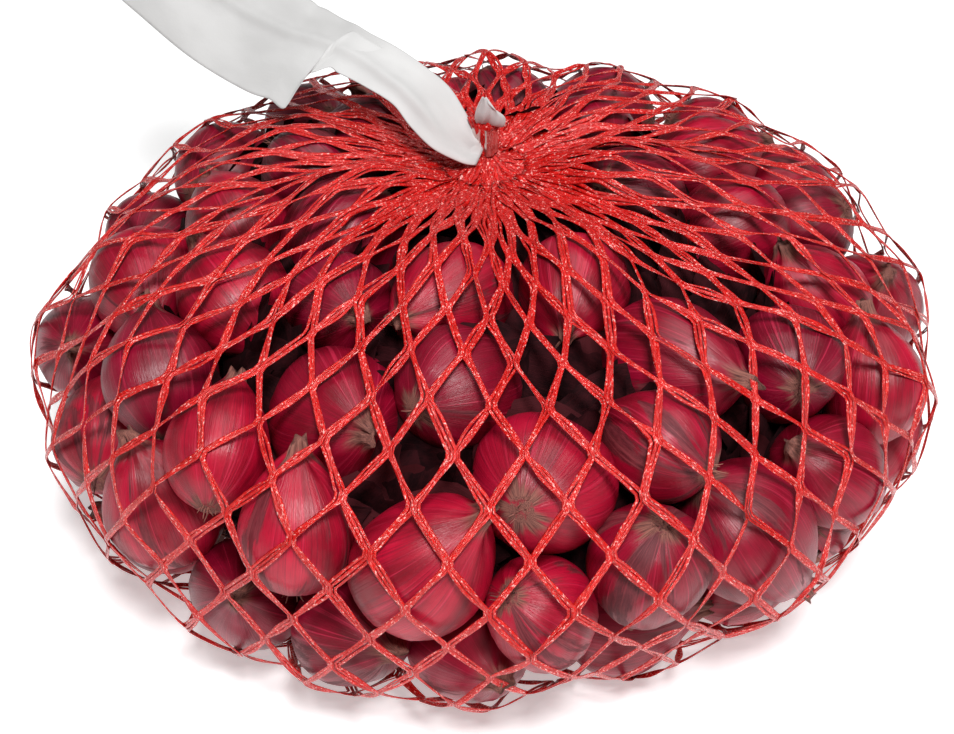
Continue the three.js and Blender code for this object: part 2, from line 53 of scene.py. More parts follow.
# Driving dimensions that the CAD model states too, in metres.
GATHER = np.array((0, 20, 98)) * MM  # where the netting enters the top clip
RING = {"radius": 12.5 * MM, "height": 94.6 * MM}  # the netting's first crossings round the gather
BASE_RING, BASE_RISE = 33 * MM, 0.8 * MM  # the netting's ring round the gathered base, and how high it is
# The netting's flat cut end underneath: where it runs, half its width in the clip and past it, its height.
TAIL = {"from": 9 * MM, "to": 28.2 * MM, "held": 1.7 * MM, "wide": 3.5 * MM, "rise": 1.3 * MM}
BAG = {
    "half_width": 124 * MM,
    "half_depth": 123 * MM,
    "height": 105 * MM,
    "widest": 52 * MM,  # how high it is widest
    "foot": 0.68,  # half width of the foot as a share of the bag's
}
CLIP = {"height": 8 * MM, "foot": 98.8 * MM}  # the top clip, and how high it starts

# The netting: cells round the bag, rows of crossings from ring to ring, the length of one cell's side.
CELLS, ROWS, CELL_SIDE = 42, 21, 13.8 * MM


# ---------------------------------------------------------------- small helpers

def unit(v):
    return v / np.maximum(np.linalg.norm(v, axis=-1, keepdims=True), 1e-12)


def smooth(t):
    t = np.clip(t, 0, 1)
    return t * t * (3 - 2 * t)


def add_mesh(name, points, polygons, attributes=None):
    """A mesh from an array of points and a list of arrays of equal-sided polygons."""
    mesh = bpy.data.meshes.new(name)
    corners = np.concatenate([p.ravel() for p in polygons])
    sides = np.concatenate([np.full(len(p), p.shape[1]) for p in polygons])
    mesh.vertices.add(len(points))
    mesh.vertices.foreach_set("co", np.asarray(points, np.float32).ravel())
    mesh.loops.add(len(corners))
    mesh.loops.foreach_set("vertex_index", corners.astype(np.int32))
    mesh.polygons.add(len(sides))
    mesh.polygons.foreach_set("loop_start", (np.cumsum(sides) - sides).astype(np.int32))
    mesh.polygons.foreach_set("use_smooth", np.ones(len(sides), bool))
    mesh.update(calc_edges=True)
    for key, values in (attributes or {}).items():
        kind = "FLOAT_VECTOR" if values.ndim == 2 else "FLOAT"
        field = mesh.attributes.new(key, kind, "POINT")
        key_of_value = "vector" if values.ndim == 2 else "value"
        field.data.foreach_set(key_of_value, np.asarray(values, np.float32).ravel())
    piece = bpy.data.objects.new(name, mesh)
    bpy.context.scene.collection.objects.link(piece)
    return piece


def grid_polygons(rows, columns, closed):
    """Quads over a grid of points, row by row. A closed grid joins its last column to its first."""
    r, c = np.meshgrid(np.arange(rows - 1), np.arange(columns if closed else columns - 1), indexing="ij")
    right = (c + 1) % columns
    here, below = r * columns, (r + 1) * columns
    return np.stack([here + c, here + right, below + right, below + c], -1).reshape(-1, 4)


def curve_through(points, count):
    """Evenly spaced points on a smooth curve through the given ones."""
    p = np.asarray(points, float)
    p = np.vstack([2 * p[0] - p[1], p, 2 * p[-1] - p[-2]])
    found = []
    for a, b, c, d in zip(p, p[1:], p[2:], p[3:]):
        t = np.linspace(0, 1, 20, endpoint=False)[:, None]
        square, cube = 2 * a - 5 * b + 4 * c - d, 3 * b - a - 3 * c + d
        found.append(0.5 * (2 * b + (c - a) * t + square * t**2 + cube * t**3))
    dense = np.vstack([*found, p[-2:-1]])
    along = np.r_[0, np.cumsum(np.linalg.norm(np.diff(dense[:, :3], axis=0), axis=1))]
    wanted = np.linspace(0, along[-1], count)
    return np.stack([np.interp(wanted, along, dense[:, k]) for k in range(dense.shape[1])], 1)


# ---------------------------------------------------------------- material helpers

class Nodes:
    """Builds one material's nodes, with links made by passing a socket where a value could go."""

    def __init__(self, name):
        self.material = bpy.data.materials.new(name)
        self.material.use_nodes = True
        self.tree = self.material.node_tree
        self.shader = self.tree.nodes["Principled BSDF"]

    def add(self, kind, settings=None, **inputs):
        node = self.tree.nodes.new(kind)
        for key, value in (settings or {}).items():
            setattr(node, key, value)
        for key, value in inputs.items():
            numbered = key[0] == "i" and key[1:].isdigit()
            self.put(node.inputs[int(key[1:]) if numbered else key.replace("_", " ")], value)
        return node

    def put(self, socket, value):
        if isinstance(value, bpy.types.NodeSocket):
            self.tree.links.new(value, socket)
        else:
            socket.default_value = value

    def set(self, **inputs):
        for key, value in inputs.items():
            self.put(self.shader.inputs[key.replace("_", " ")], value)

    def attribute(self, name, output="Vector"):
        return self.add("ShaderNodeAttribute", {"attribute_name": name}).outputs[output]

    def math(self, operation, a, b):
        return self.add("ShaderNodeMath", {"operation": operation}, i0=a, i1=b).outputs[0]

    def scaled(self, vector, factors):
        return self.add("ShaderNodeVectorMath", {"operation": "MULTIPLY"}, i0=vector, i1=factors).outputs[0]

    def noise(self, vector, scale, detail=3.0, roughness=0.55, distortion=0.0):
        shape = {"Scale": scale, "Detail": detail, "Roughness": roughness, "Distortion": distortion}
        return self.add("ShaderNodeTexNoise", Vector=vector, **shape).outputs["Fac"]

    def band(self, value, low, high, to_low=0.0, to_high=1.0):
        settings = {"interpolation_type": "SMOOTHSTEP"}
        ends = {"i1": low, "i2": high, "i3": to_low, "i4": to_high}
        return self.add("ShaderNodeMapRange", settings, i0=value, **ends).outputs[0]

    def mix(self, factor, a, b, blend="MIX"):
        node = self.add("ShaderNodeMix", {"data_type": "RGBA", "blend_type": blend}, i0=factor, i6=a, i7=b)
        return node.outputs[2]

    def bump(self, height, strength, distance):
        return self.add("ShaderNodeBump", Height=height, Strength=strength, Distance=distance).outputs[0]


# ---------------------------------------------------------------- materials

def shallot_material():
    """Glossy crimson skin with fine veins, dull outer skin in patches, a straw-coloured neck and root."""
    n = Nodes("shallot_skin")
    skin = n.attribute("skin")  # cosine and sine round the bulb, and the place along it
    dryness = n.attribute("dryness", "Fac")
    seed = n.attribute("seed", "Fac")
    # Each shallot takes its own part of the noise.
    shifts = {axis: n.math("MULTIPLY", seed, far) for axis, far in (("X", 31.0), ("Y", 17.0), ("Z", 7.0))}
    apart = n.add("ShaderNodeCombineXYZ", **shifts).outputs[0]
    place = n.add("ShaderNodeVectorMath", {"operation": "ADD"}, i0=skin, i1=apart).outputs[0]
    along = n.add("ShaderNodeSeparateXYZ", i0=skin).outputs[2]

    veins = n.noise(n.scaled(place, (18, 18, 0.9)), 1.0, 3.0, 0.6, 0.2)
    fine_veins = n.noise(n.scaled(place, (52, 52, 1.6)), 1.0, 3.0, 0.6, 0.15)
    clouds = n.noise(n.scaled(place, (1.3, 1.3, 1.6)), 1.0, 4.0, 0.6)
    patches = n.noise(n.scaled(place, (1.7, 1.7, 1.1)), 1.0, 6.0, 0.62, 0.5)
    flecks = n.noise(n.scaled(place, (14, 14, 9)), 1.0, 4.0, 0.7)

    flesh = n.mix(n.band(clouds, 0.3, 0.7), (0.17, 0.001, 0.009, 1), (0.5, 0.004, 0.032, 1))
    tone = n.math("ADD", n.math("MULTIPLY", seed, 0.7), n.math("MULTIPLY", clouds, 0.6))
    darker = n.band(tone, 0.45, 1.0, 0.0, 0.85)
    flesh = n.mix(darker, flesh, (0.4, 0.3, 0.65, 1), "MULTIPLY")
    flesh = n.mix(n.band(veins, 0.55, 0.68, 0.0, 0.4), flesh, (0.64, 0.03, 0.085, 1))
    flesh = n.mix(n.band(fine_veins, 0.54, 0.62, 0.0, 0.5), flesh, (0.12, 0.001, 0.012, 1))
    dry = n.mix(n.band(flecks, 0.35, 0.7), (0.05, 0.004, 0.008, 1), (0.15, 0.022, 0.03, 1))
    dry = n.mix(n.band(veins, 0.5, 0.66, 0.0, 0.4), dry, (0.24, 0.06, 0.062, 1))
    is_dry = n.band(n.math("ADD", patches, n.math("MULTIPLY", dryness, 0.22)), 0.7, 0.76)
    straw = n.mix(n.band(flecks, 0.4, 0.65), (0.27, 0.1, 0.075, 1), (0.07, 0.018, 0.018, 1))
    ragged = n.math("ADD", along, n.math("MULTIPLY", n.math("SUBTRACT", patches, 0.5), 0.22))
    is_end = n.math("MAXIMUM", n.band(ragged, 0.86, 0.95), n.band(ragged, 0.035, 0.0))
    colour = n.mix(n.math("MULTIPLY", is_dry, 0.8), flesh, dry)
    colour = n.mix(is_end, colour, straw)
    rough = n.math("MAXIMUM", n.band(is_dry, 0.0, 1.0, 0.3, 0.55), n.band(is_end, 0.0, 1.0, 0.3, 0.75))
    rough = n.math("ADD", rough, n.math("MULTIPLY", fine_veins, 0.12))
    creases = n.noise(n.scaled(place, (70, 70, 26)), 1.0, 3.0, 0.6)
    height = n.math("ADD", n.math("MULTIPLY", veins, 0.6), n.math("MULTIPLY", fine_veins, 0.25))
    height = n.math("ADD", height, n.math("MULTIPLY", creases, 0.3))
    n.set(Base_Color=colour, Roughness=rough, Normal=n.bump(height, 0.4, 0.0006))
    n.set(Specular_IOR_Level=0.42)
    return n.material


def shade_skin_material():
    """Near-black papery skin with long fibres and dark brown and purple blotches: painted shade for the
    gaps between the shallots.
    """
    n = Nodes("painted_shade_skin")
    place = n.attribute("skin")
    seed = n.attribute("seed", "Fac")
    fibres = n.noise(n.scaled(place, (5, 60, 1)), 1.0, 3.0, 0.6, 0.3)
    blotches = n.noise(n.scaled(place, (3, 3, 1)), 1.0, 4.0, 0.6)
    # Painted shade: colours close to black, so that what shows between the shallots reads as shadow.
    colour = n.mix(n.band(blotches, 0.35, 0.65), (0.008, 0.0012, 0.002, 1), (0.03, 0.004, 0.006, 1))
    colour = n.mix(n.band(fibres, 0.5, 0.75, 0.0, 0.5), colour, (0.05, 0.009, 0.011, 1))
    colour = n.mix(n.band(seed, 0.9, 0.95, 0.0, 0.7), colour, (0.08, 0.012, 0.016, 1))
    n.set(Base_Color=colour, Roughness=n.band(fibres, 0.3, 0.7, 0.8, 0.95))
    n.set(Normal=n.bump(fibres, 0.4, 0.0005), Specular_IOR_Level=0.1)
    return n.material


def netting_material():
    """Glossy red plastic tape, with small pale pink spots painted into its colour as painted highlights
    (glints).
    """
    n = Nodes("netting_plastic")
    strand = n.attribute("strand")  # along the strand, which filament it is, and round the filament
    wear_and_glints = n.noise(n.scaled(strand, (420, 3, 0.4)), 1.0, 3.0, 0.6)
    crinkle_and_glints = n.noise(n.scaled(strand, (1300, 7, 1.1)), 1.0, 3.0, 0.65)
    colour = n.mix(n.band(wear_and_glints, 0.35, 0.7), (0.46, 0.004, 0.003, 1), (0.7, 0.01, 0.007, 1))
    # Painted highlights: where the crinkle and wear noises line up, the colour turns pale pink-white, as
    # glints on the tape.
    painted_glints = n.math("MULTIPLY", n.band(crinkle_and_glints, 0.57, 0.65), n.band(wear_and_glints, 0.45, 0.53))
    colour = n.mix(painted_glints, colour, (0.98, 0.6, 0.55, 1))
    n.set(Base_Color=colour, Roughness=n.band(crinkle_and_glints, 0.35, 0.65, 0.12, 0.38))
    n.set(Normal=n.bump(crinkle_and_glints, 0.8, 0.0005), Specular_IOR_Level=0.5)
    return n.material


def film_material():
    """Dull white film with fine crumples."""
    n = Nodes("label_film")
    place = n.attribute("film")
    crumple = n.noise(n.scaled(place, (150, 220, 0)), 1.0, 4.0, 0.6)
    haze = n.noise(n.scaled(place, (30, 60, 0)), 1.0, 3.0, 0.5)
    n.set(Base_Color=n.mix(n.band(haze, 0.3, 0.7), (0.47, 0.465, 0.46, 1), (0.56, 0.555, 0.55, 1)))
    n.set(Roughness=n.band(crumple, 0.3, 0.7, 0.6, 0.75), Normal=n.bump(crumple, 0.35, 0.0004))
    n.set(Specular_IOR_Level=0.25)
    return n.material


def clip_material():
    """Thin aluminium, scuffed where it was crimped."""
    n = Nodes("clip_metal")
    where = n.add("ShaderNodeTexCoord").outputs["Object"]
    scuffs = n.noise(n.scaled(where, (900, 900, 300)), 1.0, 4.0, 0.65)
    n.set(Base_Color=n.mix(n.band(scuffs, 0.3, 0.7), (0.55, 0.45, 0.42, 1), (0.85, 0.76, 0.73, 1)))
    n.set(Metallic=1.0, Roughness=n.band(scuffs, 0.3, 0.7, 0.22, 0.45), Normal=n.bump(scuffs, 0.3, 0.0002))
    return n.material


def floor_material():
    n = Nodes("floor_white")
    n.set(Base_Color=(0.93, 0.93, 0.93, 1), Roughness=0.7, Specular_IOR_Level=0.2)
    n.set(Emission_Color=(1, 1, 1, 1), Emission_Strength=0.4)
    return n.material


MATERIALS = {
    "shallot": shallot_material(),
    # The shade skins' material is painted shade, near-black.
    "shade_skins": shade_skin_material(),
    "netting": netting_material(),
    "film": film_material(),
    "clip": clip_material(),
    "floor": floor_material(),
}


# ---------------------------------------------------------------- camera and light

def add_camera():
    """Looks down on the bag's front from close by."""
    distance, elevation = 0.45, math.radians(37.15)
    target = Vector((0, 0, 0.045))
    forward = Vector((0, math.cos(elevation), -math.sin(elevation)))
    data = bpy.data.cameras.new("camera")
    data.lens, data.sensor_width = 57.9, 36
    data.shift_x, data.shift_y = -0.0075, -0.0219
    data.clip_start = 0.01
    camera = bpy.data.objects.new("camera", data)
    camera.location = target - forward * distance
    camera.rotation_euler = forward.to_track_quat("-Z", "Y").to_euler()
    bpy.context.scene.collection.objects.link(camera)
    bpy.context.scene.camera = camera


def add_area_light(name, place, target, size, power):
    data = bpy.data.lights.new(name, "AREA")
    data.size, data.energy = size, power
    light = bpy.data.objects.new(name, data)
    light.location = place
    light.rotation_euler = (Vector(target) - Vector(place)).to_track_quat("-Z", "Y").to_euler()
    bpy.context.scene.collection.objects.link(light)


FLOOR = {"half_width": 4.0, "level": -0.6 * MM}  # just under the lowest strands


def add_surroundings():
    world = bpy.data.worlds.new("studio")
    world.use_nodes = True
    world.node_tree.nodes["Background"].inputs["Color"].default_value = (1, 1, 1, 1)
    world.node_tree.nodes["Background"].inputs["Strength"].default_value = 0.17
    bpy.context.scene.world = world
    bpy.context.scene.view_settings.view_transform = "Standard"
    add_area_light("key", (0.06, -0.48, 0.75), (0, 0, 0.05), 0.16, 7.0)
    add_area_light("top", (0.15, 0.1, 1.0), (0, 0, 0.05), 0.6, 4.0)
    corners = FLOOR["half_width"] * np.array([(-1, -1), (1, -1), (1, 1), (-1, 1)])
    floor = add_mesh("floor", np.c_[corners, np.full(4, FLOOR["level"])], [np.array([[0, 1, 2, 3]])])
    floor.data.materials.append(MATERIALS["floor"])


# ---------------------------------------------------------------- shallots

# Radius of a bulb along its length, from the root plate to the dry neck, as shares of radius and length.
BULB = np.array([
    (0, 0.2), (0.03, 0.36), (0.1, 0.66), (0.24, 0.94), (0.4, 1.02),
    (0.55, 0.95), (0.7, 0.74), (0.82, 0.46), (0.91, 0.2), (1, 0.12),
])
# Balls that fill a bulb: each one's place along it, and its size as a share of the radius there.
BALLS = np.array([
    (0.14, 0.9), (0.26, 0.98), (0.4, 1.03), (0.52, 1.0), (0.64, 0.95), (0.76, 0.95), (0.9, 1.0),
])
AROUND, ALONG = 44, 40  # points round a bulb and along it
FOLD_IN = -0.35  # a crease that folds in more than this is where two bodies of a node meet
PIN_AREA = 0.0012  # a body with less skin than this, in square metres, is a pin between two shallots


def bulb_radius(along):
    rounded = curve_through(BULB, 200)
    return np.interp(along, rounded[:, 0], rounded[:, 1])


def bulbs_in(node):
    """Each shallot of a CAD node as its root, its axis towards the neck, its radius and its length."""
    mesh = bmesh.new()
    mesh.from_mesh(node.data)
    bmesh.ops.remove_doubles(mesh, verts=mesh.verts, dist=1e-6)
    bmesh.ops.recalc_face_normals(mesh, faces=mesh.faces)
    left, found = set(mesh.faces), []
    while left:
        island, edge_of = [], [left.pop()]
        while edge_of:
            face = edge_of.pop()
            island.append(face)
            for edge in face.edges:
                if len(edge.link_faces) != 2 or edge.calc_face_angle_signed() < FOLD_IN:
                    continue
                for other in edge.link_faces:
                    if other in left:
                        left.remove(other)
                        edge_of.append(other)
        areas = np.array([f.calc_area() for f in island])
        if areas.sum() < PIN_AREA:
            continue
        spots = np.array([f.calc_center_median() for f in island])
        middle = areas @ spots / areas.sum()
        off = spots - middle
        axis = np.linalg.eigh((off * areas[:, None]).T @ off)[1][:, -1]
        axis = axis * (1 if areas @ (off @ axis) ** 3 > 0 else -1)
        points = np.array([v.co for f in island for v in f.verts]) - middle
        reach = points @ axis
        wide = np.linalg.norm(points - np.outer(reach, axis), axis=1).max()
        root = middle + reach.min() * axis
        found.append({"root": root, "axis": axis, "radius": wide, "length": np.ptp(reach)})
    mesh.free()
    return sorted(found, key=lambda b: tuple(np.round(b["root"], 5)))


def balls_of(bulb):
    """Balls that fill a bulb, for the netting to lie on."""
    places, shares = BALLS.T
    sizes = bulb["radius"] * bulb_radius(places) * shares
    return bulb["root"] + np.outer(places * bulb["length"], bulb["axis"]), sizes


def bulb_frame(axis):
    """Two directions across an axis."""
    across = unit(np.cross(axis, (0.0, 0.0, 1.0) if abs(axis[2]) < 0.9 else (1.0, 0.0, 0.0)))
    return across, np.cross(axis, across)


def bulb_points(bulb, rng):
    """The skin of one shallot, with its attributes."""
    turn = np.linspace(0, 2 * np.pi, AROUND, endpoint=False)
    along = np.linspace(0, 1, ALONG) ** 1.05
    s, a = np.meshgrid(along, turn, indexing="ij")
    shape = bulb_radius(s)
    phases = rng.uniform(0, 2 * np.pi, 8)
    twist = rng.uniform(-0.5, 0.5)
    b = a + twist * (s - 0.4)
    belly = np.sin(np.pi * np.clip(s, 0, 1)) ** 0.5
    shape = shape * (1 + belly * (0.045 * np.cos(2 * b + phases[0]) + 0.03 * np.cos(3 * b + phases[1])))
    ends = 0.25 + np.abs(s - 0.42) ** 1.5 * 2.6
    ridges = np.cos(9 * b + phases[2]) + 0.7 * np.cos(14 * b + phases[3]) + 0.5 * np.cos(22 * b + phases[4])
    shape = shape * (1 + 0.014 * ends * ridges)
    neck = smooth((s - 0.78) / 0.2)
    crumple = 0.35 * np.cos(2 * a + phases[5]) + 0.22 * np.cos(5 * a + 9 * s + phases[6])
    crumple = crumple + 0.12 * np.cos(8 * a - 6 * s)
    shape = shape * (1 + neck * crumple)
    lean = rng.uniform(-0.1, 0.1, 2) * smooth((s[..., None] - 0.5) / 0.5)
    across, over = bulb_frame(bulb["axis"])
    side = (shape * np.cos(a) + lean[..., 0])[..., None] * across
    side = side + (shape * np.sin(a) + lean[..., 1])[..., None] * over
    ripple = neck * (0.03 * np.cos(3 * a + phases[7]))
    rise = (s + ripple)[..., None] * bulb["length"] * bulb["axis"]
    points = bulb["root"] + side * bulb["radius"] + rise
    skin = np.stack([np.cos(b), np.sin(b), s], -1)
    return points.reshape(-1, 3), skin.reshape(-1, 3)


ROOTS = {"count": 9, "sides": 4, "steps": 5, "thickness": 0.26 * MM}


def root_tuft(bulb, rng):
    """Short dry root fibres that stand out of the root plate."""
    across, over = bulb_frame(bulb["axis"])
    points, polygons = [], []
    sides, steps = ROOTS["sides"], ROOTS["steps"]
    for _ in range(ROOTS["count"]):
        turn, out = rng.uniform(0, 2 * np.pi), rng.uniform(0.02, 0.17)
        way = np.cos(turn) * across + np.sin(turn) * over
        start = bulb["root"] + way * out * bulb["radius"] + bulb["axis"] * 0.4 * MM
        t = np.linspace(0, 1, steps)[:, None]
        curl = rng.uniform(-1, 1, 3) * 1.0 * MM
        reach = rng.uniform(0.9, 2.8) * MM
        line = start - bulb["axis"] * reach * t + way * reach * rng.uniform(0.1, 0.8) * t**1.6 + curl * t**2
        thick = ROOTS["thickness"] * (1 - 0.6 * t)
        angles = np.linspace(0, 2 * np.pi, sides, endpoint=False)
        round_ = np.cos(angles)[:, None] * across + np.sin(angles)[:, None] * over
        ring = line[:, None] + thick[:, None] * round_[None]
        base = len(points) * sides * steps
        polygons.append(grid_polygons(steps, sides, True) + base)
        points.append(ring.reshape(-1, 3))
    fibres = np.vstack(points)
    skin = np.tile((1.0, 0.0, -0.1), (len(fibres), 1))
    return fibres, np.vstack(polygons), skin


SEED_WEIGHTS = (71, 113, 157)  # each shallot's own random draws follow from its place


def add_shallots(node, name):
    """One piece for a CAD node, with every shallot that the node holds."""
    points, quads, caps, skins, dryness, seeds = [], [], [], [], [], []
    base = 0
    bulbs = bulbs_in(node)
    for bulb in bulbs:
        rng = np.random.default_rng(int(abs(bulb["root"] @ SEED_WEIGHTS) * 1e5) % 2**31)
        skin_points, skin = bulb_points(bulb, rng)
        points.append(skin_points)
        quads.append(grid_polygons(ALONG, AROUND, True) + base)
        first_ring = np.arange(AROUND)
        caps.append(np.stack([first_ring[::-1], first_ring + (ALONG - 1) * AROUND]) + base)
        base += len(skin_points)
        fibres, sides, fibre_skin = root_tuft(bulb, rng)
        points.append(fibres)
        quads.append(sides + base)
        base += len(fibres)
        skins += [skin, fibre_skin]
        count = len(skin_points) + len(fibres)
        dryness.append(np.full(count, rng.uniform(0, 1)))
        seeds.append(np.full(count, rng.uniform(0, 1)))
    attributes = {
        "skin": np.vstack(skins),
        "dryness": np.concatenate(dryness),
        "seed": np.concatenate(seeds),
    }
    piece = add_mesh(name, np.vstack(points), [np.vstack(quads), np.vstack(caps)], attributes)
    piece.data.materials.append(MATERIALS["shallot"])
    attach(piece, "bag")
    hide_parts(node.name)
    return bulbs


# ---------------------------------------------------------------- shade skins: dark sheets that paint the shade between the shallots

# Dark sheets shaped as crumpled dry skins, painted shade for the gaps between the shallots: how many, how
# far inside the bag's skin, how low, half of each one's length and width in millimetres, and how far it
# curls.
SHADE_SKINS = {
    "count": 520,
    "inset": (25 * MM, 33 * MM),
    "lowest_middle": 9 * MM,
    "lowest": 3.5 * MM,
    "smallest": (12, 9),
    "largest": (19, 14),
    "curl": (1.5, 4.5),
}


def add_shade_skins():
    """Near-black sheets shaped as crumpled skins, between the outer shallots and the inner ones: painted
    shade for the gaps.
    """
    count, rows, columns = SHADE_SKINS["count"], 7, 9
    rng = np.random.default_rng(5)
    golden = np.pi * (3 - math.sqrt(5))
    k = np.arange(count)
    azimuth, level = k * golden, 1 - 2 * (k + 0.5) / count
    rise = np.arcsin(np.clip(level, -0.8, 1)) / (np.pi / 2) * 0.97
    inset = rng.uniform(*SHADE_SKINS["inset"], count)
    middle = on_skin(azimuth, rise)
    heart = np.array((0, 0, 0.5 * BAG["height"]))
    inward = unit(heart - middle)
    middle = middle + inward * inset[:, None]
    middle[:, 2] = np.maximum(middle[:, 2], SHADE_SKINS["lowest_middle"])
    points, quads, skins = [], [], []
    s, t = np.meshgrid(np.linspace(-1, 1, rows), np.linspace(-1, 1, columns), indexing="ij")
    for i in range(count):
        across, over = bulb_frame(-inward[i])
        spin = rng.uniform(0, 2 * np.pi)
        way = across * np.cos(spin) + over * np.sin(spin)
        side = over * np.cos(spin) - across * np.sin(spin)
        long, wide = rng.uniform(SHADE_SKINS["smallest"], SHADE_SKINS["largest"]) * MM
        curl = rng.uniform(*SHADE_SKINS["curl"]) * MM
        wave = rng.uniform(0, 6, 3)
        lift = -curl * t**2 + 0.9 * MM * (np.cos(5 * s + wave[0]) + np.cos(4 * t + 3 * s + wave[1]))
        ragged = 1 + 0.12 * np.cos(7 * t + wave[2])
        half_width = t * wide * np.sqrt(1 - 0.6 * s**2)
        patch = (s * ragged * long)[..., None] * way + half_width[..., None] * side
        patch = middle[i] + patch - lift[..., None] * inward[i]
        patch[..., 2] = np.maximum(patch[..., 2], SHADE_SKINS["lowest"])
        points.append(patch.reshape(-1, 3))
        quads.append(grid_polygons(rows, columns, False) + i * rows * columns)
        place = rng.uniform(0, 9, 3)
        skins.append(np.stack([s * 0.8 + place[0], t * 0.8 + place[1], 0 * s + 0.5], -1).reshape(-1, 3))
    seeds = np.repeat(rng.uniform(0, 1, count), rows * columns)
    attributes = {"skin": np.vstack(skins), "seed": seeds}
    piece = add_mesh("shade_skin_sheets", np.vstack(points), [np.vstack(quads)], attributes)
    piece.data.materials.append(MATERIALS["shade_skins"])
    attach(piece, "bag")


# ---------------------------------------------------------------- netting: drape

def on_skin(azimuth, rise):
    """A place on the bag's skin, at an azimuth in radians and a rise from -1, the foot, to 1, the top."""
    low = rise < 0
    foot_share = 1 - (1 - BAG["foot"]) * np.abs(rise) ** 2.6
    share = np.where(low, foot_share, np.cos(np.clip(rise, 0, 1) * np.pi / 2) ** 0.75)
    climb = (BAG["height"] - BAG["widest"]) * np.sin(rise * np.pi / 2)
    height = np.where(low, BAG["widest"] * (1 + rise), BAG["widest"] + climb)
    lean = GATHER[1] * 0.6 * np.clip(rise, 0, 1) ** 1.5
    x = BAG["half_width"] * share * np.cos(azimuth)
    y = BAG["half_depth"] * share * np.sin(azimuth) + lean
    return np.stack([x, y, height], -1)


def first_crossings():
    """Crossings in even rows down the bag's skin, from the ring round the gather to the ring underneath."""
    rows = np.arange(ROWS + 1)[:, None]
    azimuth = 2 * np.pi * (np.arange(CELLS)[None] + 0.5 * (rows % 2)) / CELLS
    # Near the gather the netting lies in radial pleats, where crossings crowd together.
    pleated = np.exp(-rows / 3.2)
    azimuth += pleated * (0.075 * np.sin(7 * azimuth + 0.8) + 0.045 * np.sin(12 * azimuth + 2.1))
    way = np.linspace(0.95, -0.9, 200)
    line = on_skin(np.zeros(200) - np.pi / 2, way)
    ring = np.array([(0, GATHER[1] - RING["radius"], RING["height"])])
    foot = np.array([(0, -BASE_RING, BASE_RISE)])
    along = np.r_[0, np.cumsum(np.linalg.norm(np.diff(np.vstack([ring, line, foot]), axis=0), axis=1))]
    wanted = np.linspace(0, along[-1], ROWS + 1)
    start = np.zeros((ROWS + 1, CELLS, 3))
    for row, far in enumerate(wanted):
        rise = np.interp(far, along[1:-1], way)
        skin = on_skin(azimuth[row], np.full(CELLS, rise))
        round_ = np.stack([np.cos(azimuth[row]), np.sin(azimuth[row]), np.zeros(CELLS)], -1)
        ring_points = RING["radius"] * round_ + (0, GATHER[1], RING["height"])
        foot_points = BASE_RING * round_ + (0, 0, BASE_RISE)
        if far <= along[1]:
            skin = ring_points + (skin - ring_points) * far / along[1]
        elif far >= along[-2]:
            skin = skin + (foot_points - skin) * (far - along[-2]) / (along[-1] - along[-2])
        start[row] = skin
    start[..., 2] += 2.2 * MM * pleated * np.sin(7 * azimuth + 2.2) * (rows > 0)
    return start


def link_ends():
    """The two crossings that each link joins, as flat indexes."""
    row, k = np.meshgrid(np.arange(ROWS), np.arange(CELLS), indexing="ij")
    here = row * CELLS + k
    odd = row % 2
    left = (row + 1) * CELLS + (k - 1 + odd) % CELLS
    right = (row + 1) * CELLS + (k + odd) % CELLS
    return np.r_[here.ravel(), here.ravel()], np.r_[left.ravel(), right.ravel()]


class Pile:
    """The balls that stand for all the shallots, and a quick way to find those near a point."""

    def __init__(self, bulbs):
        pairs = [balls_of(b) for b in bulbs]
        self.centres = np.vstack([c for c, _ in pairs])
        self.sizes = np.concatenate([s for _, s in pairs])

    def near(self, points, count=7):
        off = ((points[:, None] - self.centres[None]) ** 2).sum(-1) ** 0.5 - self.sizes
        return np.argpartition(off, count, axis=1)[:, :count]

    def push(self, points, near, clear):
        """The move that takes each point out of the ball that it is deepest in."""
        off = points[:, None] - self.centres[near]
        far = np.linalg.norm(off, axis=-1)
        deep = self.sizes[near] + clear - far
        worst = np.argmax(deep, axis=1)
        pick = np.arange(len(points)), worst
        return unit(off[pick]) * np.maximum(deep[pick], 0)[:, None]


# How the netting is pulled down: how many steps, how firmly a link keeps its length, how hard every link
# pulls before the last fifth of the steps and in it, the room kept over a shallot and over the floor, and
# after how many steps the nearest balls are looked for again.
DRAPE = {
    "steps": 260,
    "firm": 0.45,
    "taut": 0.04,
    "end_taut": 0.01,
    "clear": 0.75 * MM,
    "floor": 0.7 * MM,
    "look_every": 12,
}


